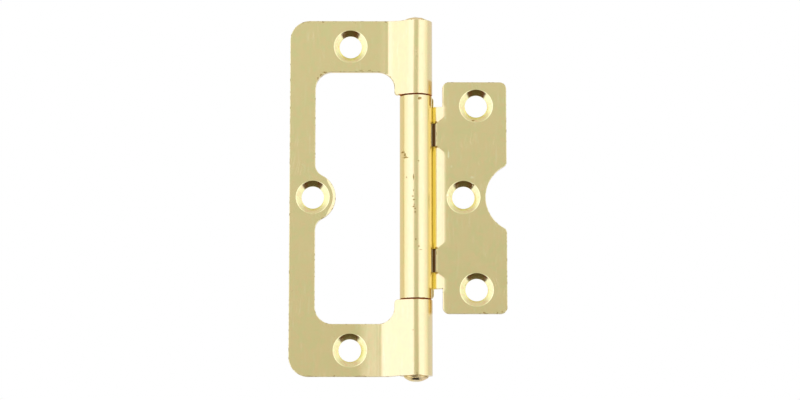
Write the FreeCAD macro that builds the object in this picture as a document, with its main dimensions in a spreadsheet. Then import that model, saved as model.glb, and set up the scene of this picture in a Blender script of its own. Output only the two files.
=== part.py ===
"""Flush hinge: two stamped leaves that nest in one thickness, turning on a headed pin.

Frame: the origin is on the pin's axis at mid-length. +Z runs up the pin, +X points to the
inner leaf, and the countersunk faces look along -Y. The hinge is modelled opened flat.
"""
import FreeCAD, Part
import math
import os

import Sketcher

SIZES = (
    # the sheet, the knuckles and the pin
    ("leaf_length", 100.0),
    ("sheet", 1.6),
    ("bore", 5.9),
    ("pin_clearance", 0.05),
    ("seam_gap", 0.2),
    ("knuckle_gap", 0.3),
    ("knuckle_setback", 0.2),
    ("head_overhang", 0.5),
    ("head_height", 1.55),
    ("head_corner", 0.8),
    # the outer leaf: two arms, a rim with its boss, and a tab that rolls up from each arm
    ("outer_reach", 35.3),
    ("outer_corner", 5.5),
    ("upper_ramp_angle", 32.0),
    ("lower_ramp_angle", 25.5),
    ("upper_bend", 3.5),
    ("lower_bend", 10.0),
    ("arm_width", 14.6),
    ("rim_width", 7.2),
    ("window_corner", 4.8),
    ("tab_drop", 6.65),
    ("tab_shoulder", 1.5),
    ("tab_straight", 1.15),
    ("tab_nose", 1.0),
    ("boss_radius", 6.8),
    ("boss_rise", 5.7),
    ("boss_fillet", 3.5),
    # the inner leaf
    ("window_clearance", 2.8),
    ("tab_clearance", 1.3),
    ("boss_clearance", 3.0),
    ("plate_corner", 1.9),
    ("notch_tip", 1.5),
    ("neck_angle", 35.6),
    ("neck_crease", 0.5),
    ("lead_angle", 13.0),
    ("lead_length", 2.0),
    ("lead_bend", 5.0),
    ("neck_relief", 2.85),
    ("neck_shoulder", 0.35),
    ("neck_corner", 1.1),
    ("slot_inset", 7.9),
    ("slot_length", 6.4),
    ("slot_shoulder", 0.25),
    ("slot_width", 0.76),
    ("tongue_flare", 2.4),
    ("tongue_heel", 0.2),
    # the screw holes
    ("hole", 6.25),
    ("hole_land", 0.36),
    ("countersink_angle", 100.0),
    ("outer_end_hole_reach", 18.35),
    ("outer_centre_hole_inset", 6.5),
    ("inner_end_hole_inset", 6.75),
    ("inner_end_hole_offset", 0.475),
    ("inner_hole_stagger", 3.6),
)

# sizes that follow from the driving ones, as formulas on the sheet
HALF_SHEET = "(dims.sheet / 2)"
BORE_RADIUS = "(dims.bore / 2)"
ROLL_RADIUS = "(dims.bore / 2 + dims.sheet)"
HALF_LENGTH = "(dims.leaf_length / 2)"
KNUCKLE_END = f"({HALF_LENGTH} - dims.knuckle_setback)"
HALF_WINDOW = f"({HALF_LENGTH} - dims.arm_width)"
GAP_END = f"({HALF_WINDOW} - dims.tab_drop)"
CENTRE_END = f"({GAP_END} - dims.knuckle_gap)"
ARM_LINE = f"({HALF_LENGTH} - dims.arm_width / 2)"
TAB_REACH = f"({ROLL_RADIUS} + dims.tab_shoulder)"
TAB_FILLET = "(dims.tab_drop - dims.tab_nose - dims.tab_straight)"
WINDOW_REACH = "(dims.outer_reach - dims.rim_width)"
BOSS_CENTRE = f"({WINDOW_REACH} - dims.boss_rise + dims.boss_radius)"
PLATE_NEAR = f"({TAB_REACH} + dims.tab_clearance)"
PLATE_REACH = f"({WINDOW_REACH} - dims.window_clearance)"
HALF_PLATE = f"({HALF_WINDOW} - dims.window_clearance)"
HALF_NECK = f"({CENTRE_END} - dims.neck_relief)"
NECK_REACH = f"({ROLL_RADIUS} + dims.neck_shoulder)"
SLOT_CENTRE = f"({HALF_NECK} - dims.slot_inset)"
SLOT_WALL = f"({ROLL_RADIUS} + dims.slot_shoulder)"
TONGUE_REACH = f"({SLOT_WALL} + dims.slot_width)"
LEAD_DROP = f"({HALF_SHEET} + dims.lead_length * sin(dims.lead_angle))"
CREASE_REACH = f"(({ROLL_RADIUS} - {LEAD_DROP} * cos(dims.neck_angle)) / sin(dims.neck_angle))"
LEAD_REACH = f"({CREASE_REACH} + dims.lead_length * cos(dims.lead_angle))"
LEAD_END = f"({LEAD_REACH} + dims.lead_bend * tan(dims.lead_angle / 2))"
INNER_HOLE_LINE = f"(({PLATE_NEAR} + {PLATE_REACH}) / 2 + dims.inner_end_hole_offset)"
INNER_HOLE_HEIGHT = f"({HALF_PLATE} - dims.inner_end_hole_inset)"
CUT_MARGIN = 3.0


def make_sheet(document):
    """Write the driving sizes into the sheet, one alias for each."""
    sheet = document.addObject("Spreadsheet::Sheet", "dims")
    for row, (alias, value) in enumerate(SIZES, start=1):
        sheet.set(f"A{row}", alias)
        sheet.set(f"B{row}", str(value))
        sheet.setAlias(f"B{row}", alias)
    document.recompute()
    return sheet


def make_body(document, label):
    """An empty body whose label names its file."""
    body = document.addObject("PartDesign::Body", label)
    body.Label = label
    return body


def make_sketch(body, name, plane, offset="0"):
    """A sketch on one of the body's own origin planes, moved along the plane's normal."""
    sketch = body.newObject("Sketcher::SketchObject", name)
    support = next(item for item in body.Origin.OriginFeatures if item.Role == plane)
    sketch.AttachmentSupport = [(support, "")]
    sketch.MapMode = "FlatFace"
    sketch.setExpression("AttachmentOffset.Base.z", offset)
    return sketch


def bind(item, **formulas):
    """Bind properties of a feature to formulas on the sheet."""
    for name, formula in formulas.items():
        item.setExpression(name, formula)


def fix_vertex(sketch, edge, end, station):
    """Hold one end of an edge at the station's two coordinates."""
    for kind, axis, formula in (("DistanceX", -2, station[0]), ("DistanceY", -1, station[1])):
        if formula == "0":
            sketch.addConstraint(Sketcher.Constraint("PointOnObject", edge, end, axis))
            continue
        value = sketch.evalExpression(formula)
        index = sketch.addConstraint(Sketcher.Constraint(kind, -1, 1, edge, end, value))
        sketch.setExpression(f"Constraints[{index}]", formula)


def draw_outline(sketch, stations):
    """Draw a closed outline through the stations.

    A station is (x, y) where a straight edge follows, or (x, y, arc), where arc is
    (centre x, centre y, radius, turn) and turn is 1 to the left and -1 to the right.
    """
    points = [
        FreeCAD.Vector(sketch.evalExpression(station[0]), sketch.evalExpression(station[1]), 0)
        for station in stations
    ]
    count = len(stations)
    starts = []
    ends = []
    for index, station in enumerate(stations):
        here = points[index]
        there = points[(index + 1) % count]
        if len(station) == 2:
            edge = sketch.addGeometry(Part.LineSegment(here, there), False)
            starts.append((edge, 1))
            ends.append((edge, 2))
            continue
        centre_x, centre_y, radius, turn = station[2]
        centre = FreeCAD.Vector(
            sketch.evalExpression(centre_x), sketch.evalExpression(centre_y), 0
        )
        first, last = (here, there) if turn > 0 else (there, here)
        begin = math.atan2(first.y - centre.y, first.x - centre.x)
        finish = math.atan2(last.y - centre.y, last.x - centre.x)
        if finish <= begin:
            finish += 2 * math.pi
        size = sketch.evalExpression(radius)
        circle = Part.Circle(centre, FreeCAD.Vector(0, 0, 1), size)
        edge = sketch.addGeometry(Part.ArcOfCircle(circle, begin, finish), False)
        bound = sketch.addConstraint(Sketcher.Constraint("Radius", edge, size))
        sketch.setExpression(f"Constraints[{bound}]", radius)
        starts.append((edge, 1 if turn > 0 else 2))
        ends.append((edge, 2 if turn > 0 else 1))
    for index, station in enumerate(stations):
        edge, end = starts[index]
        following = starts[(index + 1) % count]
        sketch.addConstraint(Sketcher.Constraint("Coincident", *ends[index], *following))
        fix_vertex(sketch, edge, end, station)


def draw_circles(sketch, centres, diameter):
    """Draw equal circles, each held at its centre."""
    for centre in centres:
        point = FreeCAD.Vector(*(sketch.evalExpression(part) for part in centre), 0)
        size = sketch.evalExpression(diameter)
        circle = Part.Circle(point, FreeCAD.Vector(0, 0, 1), size / 2)
        edge = sketch.addGeometry(circle, False)
        bound = sketch.addConstraint(Sketcher.Constraint("Diameter", edge, size))
        sketch.setExpression(f"Constraints[{bound}]", diameter)
        fix_vertex(sketch, edge, 3, centre)


def draw_frame(sketch, left, right, half_height):
    """Draw the rectangle round a leaf, outside which nothing is left."""
    draw_outline(
        sketch,
        (
            (left, f"-({half_height})"),
            (right, f"-({half_height})"),
            (right, half_height),
            (left, half_height),
        ),
    )


def cut_through(body, name, sketch):
    """Cut a sketch right through the body, both ways from its plane."""
    before = body.Shape.Volume
    pocket = body.newObject("PartDesign::Pocket", name)
    pocket.Profile = sketch
    pocket.SideType = "Symmetric"
    pocket.Type = "ThroughAll"
    body.Document.recompute()
    check_removed(body, name, before)
    return pocket


def check_removed(body, name, before):
    """Stop if a cut took nothing away."""
    if body.Shape.Volume >= before:
        raise RuntimeError(f"{name} removes nothing from {body.Label}")


def ramp_corner(angle):
    """Distance from the axis to where a plate's face would meet its straight ramp."""
    return f"(({ROLL_RADIUS} - {HALF_SHEET} * cos({angle})) / sin({angle}))"


def draw_rolled_section(sketch, reach, bends, side):
    """Draw a leaf's cross-section: flat plate, bends, and the roll that makes the knuckle.

    The plate runs away from the axis towards -X and is bent up towards -Y. A bend is (reach
    and drop of the corner of its hollow face, slope before, slope after, hollow radius). With
    side -1 the section is turned half a turn about the axis.
    """
    angle = bends[-1][3]
    lip = f"(270 deg - {angle} * 1 deg - acos({BORE_RADIUS} / {ROLL_RADIUS})"
    lip += f" - dims.seam_gap / {ROLL_RADIUS} * 1 rad)"

    def turned(x, y):
        return (f"{side} * ({x})", f"{side} * ({y})")

    hollow = []
    rounded = []
    for corner, drop, before, after, radius in bends:
        back = f"{radius} * tan(({after} - {before}) / 2)"
        centre_x = f"-({corner}) - {back} * cos({before}) - {radius} * sin({before})"
        centre_y = f"-({drop}) + {back} * sin({before}) - {radius} * cos({before})"
        wide = f"({radius} + dims.sheet)"
        centre = turned(centre_x, centre_y)

        def on_arc(size, slope):
            return turned(
                f"{centre_x} + {size} * sin({slope})", f"{centre_y} + {size} * cos({slope})"
            )

        hollow.append((*on_arc(radius, before), (*centre, radius, -1)))
        hollow.append(on_arc(radius, after))
        rounded.append(on_arc(wide, before))
        rounded.append((*on_arc(wide, after), (*centre, wide, 1)))

    outside = ("0", "0", ROLL_RADIUS, 1)
    inside = ("0", "0", BORE_RADIUS, -1)
    draw_outline(
        sketch,
        (
            turned(f"-({reach})", f"-{HALF_SHEET}"),
            *hollow,
            (*turned(f"-{ROLL_RADIUS} * sin({angle})", f"-{ROLL_RADIUS} * cos({angle})"), outside),
            turned(f"{ROLL_RADIUS} * cos({lip})", f"{ROLL_RADIUS} * sin({lip})"),
            (*turned(f"{BORE_RADIUS} * cos({lip})", f"{BORE_RADIUS} * sin({lip})"), inside),
            turned(f"-{BORE_RADIUS} * sin({angle})", f"-{BORE_RADIUS} * cos({angle})"),
            *reversed(rounded),
            turned(f"-({reach})", HALF_SHEET),
        ),
    )


def roll_knuckle(body, name, section, length, side_type, reverse=False):
    """Draw out a rolled section along the axis."""
    pad = body.newObject("PartDesign::Pad", name)
    pad.Profile = section
    pad.SideType = side_type
    pad.Reversed = reverse
    bind(pad, Length=length)
    body.Document.recompute()
    return pad


def drill_countersinks(body, centres):
    """Screw holes countersunk from the face that looks along -Y."""
    body.Document.recompute()
    before = body.Shape.Volume
    sketch = make_sketch(body, f"{body.Label}_screw_centres", "XZ_Plane", HALF_SHEET)
    draw_circles(sketch, centres, "dims.hole")
    body.Document.recompute()
    hole = body.newObject("PartDesign::Hole", f"{body.Label}_screw_holes")
    hole.Profile = sketch
    hole.ThreadType = "None"
    hole.DepthType = "ThroughAll"
    hole.HoleCutType = "Countersink"
    hole.HoleCutCustomValues = True
    flare = "(dims.sheet - dims.hole_land) * tan(dims.countersink_angle / 2)"
    bind(
        hole,
        Diameter="dims.hole",
        HoleCutDiameter=f"dims.hole + 2 * {flare}",
        HoleCutCountersinkAngle="dims.countersink_angle",
    )
    body.Document.recompute()
    check_removed(body, hole.Name, before)


def boss_stations(sign):
    """Where the window's edge leaves its straight run and where it meets the boss."""
    lean = "(dims.boss_radius - dims.boss_rise + dims.boss_fillet)"
    reach = "(dims.boss_radius + dims.boss_fillet)"
    rise = f"sqrt({reach}^2 - {lean}^2)"
    meeting = (
        f"-{BOSS_CENTRE} + dims.boss_radius * {lean} / {reach}",
        f"{sign} * dims.boss_radius * {rise} / {reach}",
    )
    centre = (f"-{WINDOW_REACH} + dims.boss_fillet", f"{sign} * {rise}")
    return (f"-{WINDOW_REACH}", f"{sign} * {rise}"), meeting, centre


def draw_window(sketch):
    """The outer leaf's window, which runs on between its knuckles and round the boss."""
    low_edge, low_meeting, low_centre = boss_stations(-1)
    high_edge, high_meeting, high_centre = boss_stations(1)
    left = f"-{WINDOW_REACH}"
    corner_x = f"{left} + dims.window_corner"
    corner_z = f"({HALF_WINDOW} - dims.window_corner)"
    tab_x = f"-{TAB_REACH}"
    fillet_x = f"{tab_x} - {TAB_FILLET}"
    fillet_z = f"({HALF_WINDOW} - {TAB_FILLET})"
    nose_x = f"{tab_x} + dims.tab_nose"
    nose_z = f"({GAP_END} + dims.tab_nose)"
    beyond_roll = f"{ROLL_RADIUS} + {CUT_MARGIN}"
    corner = "dims.window_corner"
    nose = "dims.tab_nose"
    draw_outline(
        sketch,
        (
            (left, f"-{corner_z}"),
            (*low_edge, (*low_centre, "dims.boss_fillet", -1)),
            (*low_meeting, (f"-{BOSS_CENTRE}", "0", "dims.boss_radius", 1)),
            (*high_meeting, (*high_centre, "dims.boss_fillet", -1)),
            high_edge,
            (left, corner_z, (corner_x, corner_z, corner, -1)),
            (corner_x, HALF_WINDOW),
            (fillet_x, HALF_WINDOW, (fillet_x, fillet_z, TAB_FILLET, -1)),
            (tab_x, fillet_z),
            (tab_x, nose_z, (nose_x, nose_z, nose, 1)),
            (nose_x, GAP_END),
            (beyond_roll, GAP_END),
            (beyond_roll, f"-{GAP_END}"),
            (nose_x, f"-{GAP_END}", (nose_x, f"-{nose_z}", nose, 1)),
            (tab_x, f"-{nose_z}"),
            (tab_x, f"-{fillet_z}", (fillet_x, f"-{fillet_z}", TAB_FILLET, -1)),
            (fillet_x, f"-{HALF_WINDOW}"),
            (corner_x, f"-{HALF_WINDOW}", (corner_x, f"-{corner_z}", corner, -1)),
        ),
    )


def draw_outer_edge(sketch):
    """The outer leaf's blank: rounded far corners, and knuckle ends set back a little."""
    corner_x = "-dims.outer_reach + dims.outer_corner"
    corner_z = f"({HALF_LENGTH} - dims.outer_corner)"
    corner = "dims.outer_corner"
    shoulder = f"-{ramp_corner('dims.upper_ramp_angle')}"
    beyond_roll = f"{ROLL_RADIUS} + {CUT_MARGIN} / 2"
    draw_outline(
        sketch,
        (
            ("-dims.outer_reach", f"-{corner_z}"),
            ("-dims.outer_reach", corner_z, (corner_x, corner_z, corner, -1)),
            (corner_x, HALF_LENGTH),
            (shoulder, HALF_LENGTH),
            (f"-{ROLL_RADIUS}", KNUCKLE_END),
            (beyond_roll, KNUCKLE_END),
            (beyond_roll, f"-{KNUCKLE_END}"),
            (f"-{ROLL_RADIUS}", f"-{KNUCKLE_END}"),
            (shoulder, f"-{HALF_LENGTH}"),
            (corner_x, f"-{HALF_LENGTH}", (corner_x, f"-{corner_z}", corner, -1)),
        ),
    )


def make_outer_leaf(document):
    """The windowed leaf: one blank whose two arms are rolled into the end knuckles."""
    body = make_body(document, "outer_leaf")
    for name, reverse in (("upper", False), ("lower", True)):
        section = make_sketch(body, f"{name}_section", "XY_Plane")
        angle = f"dims.{name}_ramp_angle"
        bend = (ramp_corner(angle), HALF_SHEET, "0", angle, f"dims.{name}_bend")
        draw_rolled_section(section, "dims.outer_reach", (bend,), 1)
        roll_knuckle(body, f"{name}_half", section, HALF_LENGTH, "One side", reverse)

    window = make_sketch(body, "window_outline", "XZ_Plane")
    draw_window(window)
    cut_through(body, "window", window)

    edge = make_sketch(body, "outer_edge_outline", "XZ_Plane")
    draw_frame(
        edge,
        f"-dims.outer_reach - {CUT_MARGIN}",
        f"{ROLL_RADIUS} + {CUT_MARGIN}",
        f"{HALF_LENGTH} + {CUT_MARGIN}",
    )
    draw_outer_edge(edge)
    cut_through(body, "outer_edge", edge)

    drill_countersinks(
        body,
        (
            ("-dims.outer_end_hole_reach", ARM_LINE),
            ("-dims.outer_reach + dims.outer_centre_hole_inset", "0"),
            ("-dims.outer_end_hole_reach", f"-{ARM_LINE}"),
        ),
    )
    return body


def draw_inner_edge(sketch):
    """The inner leaf's blank: a notch round the boss, and a neck shorter than its plate."""
    corner = "dims.plate_corner"
    far_x = f"{PLATE_REACH} - {corner}"
    near_x = f"{PLATE_NEAR} + {corner}"
    corner_z = f"({HALF_PLATE} - {corner})"
    round_x = f"{NECK_REACH} - dims.neck_corner"
    round_z = f"({CENTRE_END} - dims.neck_corner)"
    neck_corner = "dims.neck_corner"
    notch = "(dims.boss_radius + dims.boss_clearance)"
    tip_x = f"({PLATE_REACH} - dims.notch_tip)"
    spread = f"({notch} + dims.notch_tip)"
    tip_z = f"sqrt({spread}^2 - ({BOSS_CENTRE} - {tip_x})^2)"
    share = f"{notch} / {spread}"
    meeting_x = f"{BOSS_CENTRE} - ({BOSS_CENTRE} - {tip_x}) * {share}"
    meeting_z = f"{tip_z} * {share}"
    beyond_roll = f"-{ROLL_RADIUS} - {CUT_MARGIN} / 2"
    draw_outline(
        sketch,
        (
            (PLATE_REACH, f"-{corner_z}"),
            (PLATE_REACH, f"-{tip_z}", (tip_x, f"-{tip_z}", "dims.notch_tip", 1)),
            (meeting_x, f"-{meeting_z}", (BOSS_CENTRE, "0", notch, -1)),
            (meeting_x, meeting_z, (tip_x, tip_z, "dims.notch_tip", 1)),
            (PLATE_REACH, tip_z),
            (PLATE_REACH, corner_z, (far_x, corner_z, corner, 1)),
            (far_x, HALF_PLATE),
            (near_x, HALF_PLATE, (near_x, corner_z, corner, 1)),
            (PLATE_NEAR, corner_z),
            (PLATE_NEAR, HALF_NECK),
            (NECK_REACH, HALF_NECK),
            (NECK_REACH, round_z, (round_x, round_z, neck_corner, 1)),
            (round_x, CENTRE_END),
            (beyond_roll, CENTRE_END),
            (beyond_roll, f"-{CENTRE_END}"),
            (round_x, f"-{CENTRE_END}", (round_x, f"-{round_z}", neck_corner, 1)),
            (NECK_REACH, f"-{round_z}"),
            (NECK_REACH, f"-{HALF_NECK}"),
            (PLATE_NEAR, f"-{HALF_NECK}"),
            (PLATE_NEAR, f"-{corner_z}", (near_x, f"-{corner_z}", corner, 1)),
            (near_x, f"-{HALF_PLATE}"),
            (far_x, f"-{HALF_PLATE}", (far_x, f"-{corner_z}", corner, 1)),
        ),
    )


def draw_slot_section(sketch):
    """Across a lanced slot: all of the ramp from the slot's square wall to the flat plate."""
    angle = "dims.neck_angle"
    along = f"(({SLOT_WALL} - {BORE_RADIUS} * sin({angle})) / cos({angle}))"
    wall_y = f"({BORE_RADIUS} * cos({angle}) - {along} * sin({angle}))"
    depth = f"(dims.sheet + {CUT_MARGIN} / 2)"
    foot_x = f"({SLOT_WALL} + {depth} * sin({angle}))"
    foot_y = f"({wall_y} + {depth} * cos({angle}))"
    draw_outline(
        sketch,
        (
            (SLOT_WALL, f"-{CUT_MARGIN}"),
            (LEAD_END, f"-{CUT_MARGIN}"),
            (LEAD_END, foot_y),
            (foot_x, foot_y),
            (SLOT_WALL, wall_y),
        ),
    )


def draw_tongue(sketch, sign):
    """The flat tongue that stays in the plate's plane in front of one slot."""
    near_z = f"({SLOT_CENTRE} - dims.slot_length / 2)"
    far_z = f"({SLOT_CENTRE} + dims.slot_length / 2)"
    stations = (
        (TONGUE_REACH, f"{sign} * {near_z}"),
        (LEAD_END, f"{sign} * ({near_z} - dims.tongue_flare)"),
        (f"{LEAD_END} + {HALF_SHEET}", f"{sign} * ({near_z} - dims.tongue_flare)"),
        (f"{LEAD_END} + {HALF_SHEET}", f"{sign} * ({far_z} + dims.tongue_flare)"),
        (LEAD_END, f"{sign} * ({far_z} + dims.tongue_flare)"),
        (TONGUE_REACH, f"{sign} * {far_z}"),
    )
    draw_outline(sketch, stations)


def draw_heel_section(sketch):
    """Across the back edge of a tongue's tip, which the shear leaves leaning."""
    draw_outline(
        sketch,
        (
            (TONGUE_REACH, "0"),
            (f"{TONGUE_REACH} + dims.tongue_heel", HALF_SHEET),
            (TONGUE_REACH, HALF_SHEET),
        ),
    )


def cut_both_slots(body, name, draw_section):
    """Cut a section along the upper slot, and the same along the lower one."""
    lower_end = f"({SLOT_CENTRE} - dims.slot_length / 2)"
    section = make_sketch(body, f"{name}_section", "XY_Plane", lower_end)
    draw_section(section)
    before = body.Shape.Volume
    upper = body.newObject("PartDesign::Pocket", f"upper_{name}")
    upper.Profile = section
    upper.Reversed = True
    bind(upper, Length="dims.slot_length")
    body.Document.recompute()
    check_removed(body, upper.Name, before)

    before = body.Shape.Volume
    lower = body.newObject("PartDesign::Mirrored", f"lower_{name}")
    lower.Originals = [upper]
    plane = next(item for item in body.Origin.OriginFeatures if item.Role == "XY_Plane")
    lower.MirrorPlane = (plane, [""])
    body.Tip = lower
    body.Document.recompute()
    check_removed(body, lower.Name, before)


def lance_slots(body):
    """Part the neck from the plate at two slots, and leave the plate flat up to them."""
    cut_both_slots(body, "slot", draw_slot_section)

    outline = make_sketch(body, "tongue_outline", "XZ_Plane")
    for sign in (1, -1):
        draw_tongue(outline, sign)
    tongues = body.newObject("PartDesign::Pad", "tongues")
    tongues.Profile = outline
    tongues.SideType = "Symmetric"
    bind(tongues, Length="dims.sheet")
    body.Document.recompute()

    cut_both_slots(body, "heel", draw_heel_section)


def make_inner_leaf(document):
    """The nested leaf: a plate that fills the window, necked down into the centre knuckle."""
    body = make_body(document, "inner_leaf")
    section = make_sketch(body, "inner_section", "XY_Plane")
    lead = (LEAD_REACH, HALF_SHEET, "0", "dims.lead_angle", "dims.lead_bend")
    crease = (CREASE_REACH, LEAD_DROP, "dims.lead_angle", "dims.neck_angle", "dims.neck_crease")
    draw_rolled_section(section, PLATE_REACH, (lead, crease), -1)
    roll_knuckle(body, "inner_blank", section, f"2 * {HALF_PLATE}", "Symmetric")

    edge = make_sketch(body, "inner_edge_outline", "XZ_Plane")
    draw_frame(
        edge,
        f"-{ROLL_RADIUS} - {CUT_MARGIN}",
        f"{PLATE_REACH} + {CUT_MARGIN}",
        f"{HALF_PLATE} + {CUT_MARGIN}",
    )
    draw_inner_edge(edge)
    cut_through(body, "inner_edge", edge)

    lance_slots(body)
    drill_countersinks(
        body,
        (
            (INNER_HOLE_LINE, INNER_HOLE_HEIGHT),
            (f"{INNER_HOLE_LINE} - dims.inner_hole_stagger", "0"),
            (INNER_HOLE_LINE, f"-{INNER_HOLE_HEIGHT}"),
        ),
    )
    return body


def make_hinge_pin(document):
    """The pin, with a low button head riveted over each end knuckle."""
    body = make_body(document, "hinge_pin")
    profile = make_sketch(body, "pin_profile", "XZ_Plane")
    head = f"({BORE_RADIUS} + dims.head_overhang)"
    shank = f"({BORE_RADIUS} - dims.pin_clearance)"
    across = f"({head} - dims.head_corner)"
    fall = "(dims.head_height - dims.head_corner)"
    dome = f"(({across}^2 + dims.head_height^2 - dims.head_corner^2) / (2 * {fall}))"
    share = f"{dome} / ({dome} - dims.head_corner)"
    crown = f"({KNUCKLE_END} + dims.head_height)"
    centre = f"({crown} - {dome})"
    turn_x = f"{across} * {share}"
    turn_z = f"({centre} + ({dome} - dims.head_height) * {share})"
    draw_outline(
        profile,
        (
            ("0", f"-{crown}", ("0", f"-{centre}", dome, 1)),
            (turn_x, f"-{turn_z}", (across, f"-{KNUCKLE_END}", "dims.head_corner", 1)),
            (head, f"-{KNUCKLE_END}"),
            (shank, f"-{KNUCKLE_END}"),
            (shank, KNUCKLE_END),
            (head, KNUCKLE_END, (across, KNUCKLE_END, "dims.head_corner", 1)),
            (turn_x, turn_z, ("0", centre, dome, 1)),
            ("0", crown),
        ),
    )
    turned = body.newObject("PartDesign::Revolution", "turned_pin")
    turned.Profile = profile
    axis = next(item for item in body.Origin.OriginFeatures if item.Role == "Z_Axis")
    turned.ReferenceAxis = (axis, [""])
    turned.Angle = 360
    document.recompute()
    return body


def check_document(document):
    """Stop if any object failed, or if a sketch is not fully held."""
    for item in document.Objects:
        if {"Invalid", "Error"} & set(item.State):
            raise RuntimeError(f"{item.Name} failed: {item.State}")
        if item.TypeId == "Sketcher::SketchObject" and item.solve() != 0:
            raise RuntimeError(f"{item.Name} does not solve")


def write_parts(bodies):
    """Write one file for each piece, once every shape has been found sound."""
    for body in bodies:
        shape = body.Shape
        if shape.isNull() or not shape.isValid() or len(shape.Solids) != 1:
            raise RuntimeError(f"{body.Label} is not one sound solid")
    os.makedirs("parts", exist_ok=True)
    for body in bodies:
        body.Shape.exportStep(f"parts/{body.Label}.step")
        print(body.Label, "volume", round(body.Shape.Volume, 2), "mm3")


def main():
    """Build the hinge and write its three pieces."""
    document = FreeCAD.newDocument("flush_hinge")
    make_sheet(document)
    bodies = (
        make_outer_leaf(document),
        make_inner_leaf(document),
        make_hinge_pin(document),
    )
    document.recompute()
    check_document(document)
    write_parts(bodies)


main()
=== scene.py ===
"""Studio scene of an opened flush hinge: two brassed leaves that nest, on a riveted pin.

The origin is on the pin's axis at mid-length, +Z runs up the pin, +X points to the inner leaf,
and the countersunk faces look along -Y. Sizes are in metres, and what says where something
lies on the surface (marks, reliefs, patches, screw places, fronts, starts) in millimetres.
"""
import logging
import math
from abc import ABC, abstractmethod
from collections.abc import Iterable, Mapping
from dataclasses import dataclass
from enum import Enum
from typing import TypeAlias

import bmesh
import bpy
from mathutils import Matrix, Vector


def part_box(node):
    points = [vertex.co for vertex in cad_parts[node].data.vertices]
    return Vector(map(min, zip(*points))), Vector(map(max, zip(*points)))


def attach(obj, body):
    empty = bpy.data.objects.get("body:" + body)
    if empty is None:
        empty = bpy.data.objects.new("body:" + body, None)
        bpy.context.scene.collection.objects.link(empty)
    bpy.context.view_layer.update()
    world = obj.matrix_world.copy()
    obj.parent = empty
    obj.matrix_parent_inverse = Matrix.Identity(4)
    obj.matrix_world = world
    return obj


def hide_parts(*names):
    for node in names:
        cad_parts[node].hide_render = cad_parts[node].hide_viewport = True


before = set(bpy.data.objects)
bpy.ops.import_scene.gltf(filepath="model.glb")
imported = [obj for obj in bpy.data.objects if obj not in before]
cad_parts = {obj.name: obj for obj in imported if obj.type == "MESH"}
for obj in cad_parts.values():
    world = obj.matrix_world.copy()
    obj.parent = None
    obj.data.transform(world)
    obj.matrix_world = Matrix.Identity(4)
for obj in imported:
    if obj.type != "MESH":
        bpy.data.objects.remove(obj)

MM = 0.001
FLAT_ANGLE = math.radians(0.3)
SHARP_ANGLE = math.radians(28)
RIM = "rim"
LOG = logging.getLogger("flush_hinge")

Piece: TypeAlias = bpy.types.Object
Socket: TypeAlias = bpy.types.NodeSocket
Number: TypeAlias = "float | Value"
Span: TypeAlias = tuple[float, float]
Triple: TypeAlias = tuple[float, float, float]


class Body(Enum):
    """The two bodies that turn against each other."""

    OUTER = "outer_leaf"
    INNER = "inner_leaf"


class Slot(Enum):
    """The material slots that the record names."""

    SHEET = "plated_sheet"
    PIN = "plated_pin"


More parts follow.
